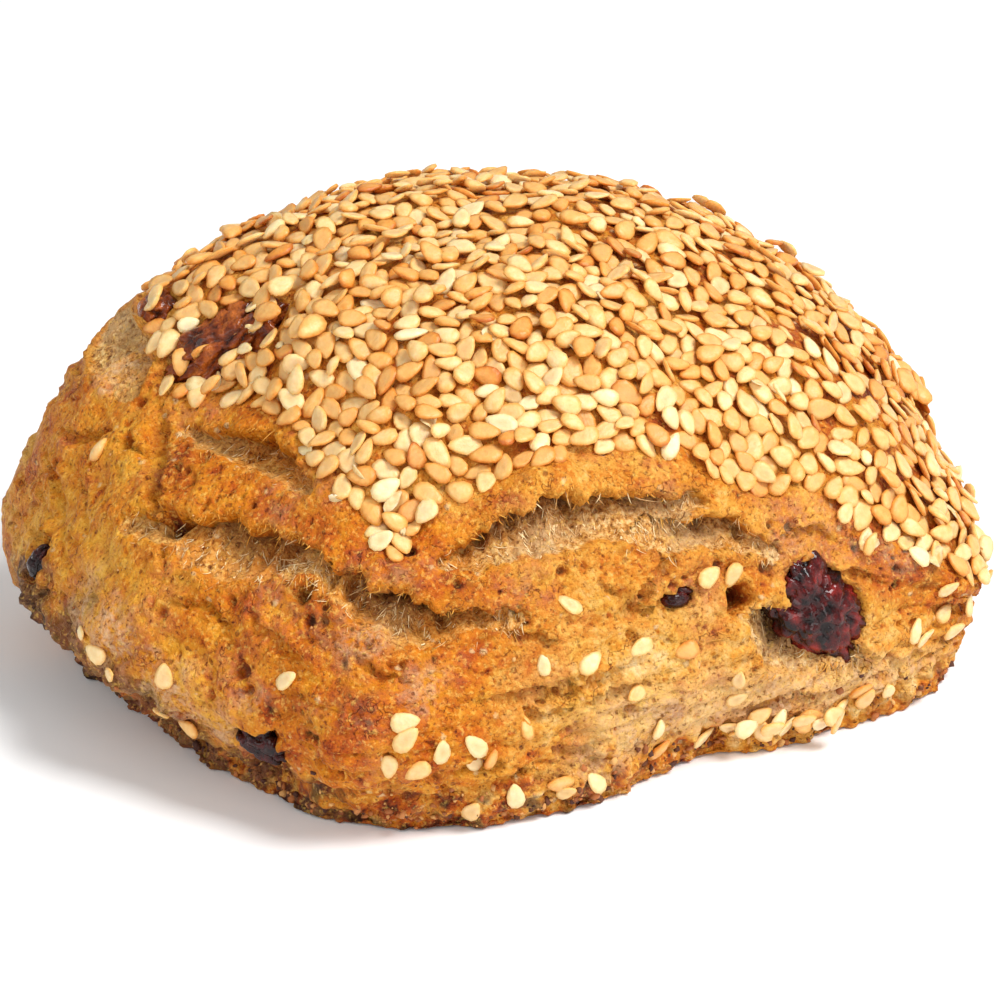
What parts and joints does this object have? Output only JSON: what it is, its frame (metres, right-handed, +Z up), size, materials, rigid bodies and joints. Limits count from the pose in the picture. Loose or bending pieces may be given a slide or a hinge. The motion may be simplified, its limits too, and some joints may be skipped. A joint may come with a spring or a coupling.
{
  "type": "bread roll",
  "caption": "Square-cut domed bread roll with a sesame-seeded top, torn crusty sides and dried berries baked into it.",
  "frame": {"origin": "middle of the underside's level, at the centre of the roll's plan outline", "axes": "+Z up; +X along the roll's longer side; -Y towards the long side with the widest tears"},
  "size_m": [0.1, 0.0783, 0.0485],
  "materials": {
    "crust": "baked golden brown crust with pale sesame seeds, matt",
    "berry": "wrinkled dried fruit skin, dark red, softly shining"
  },
  "bodies": {
    "root": {"bread_roll": "crust", "berry_front": "berry", "berry_top": "berry", "berry_rim": "berry", "berry_left": "berry", "berry_corner": "berry", "berry_crack": "berry", "berry_back": "berry"}
  },
  "joints": []
}
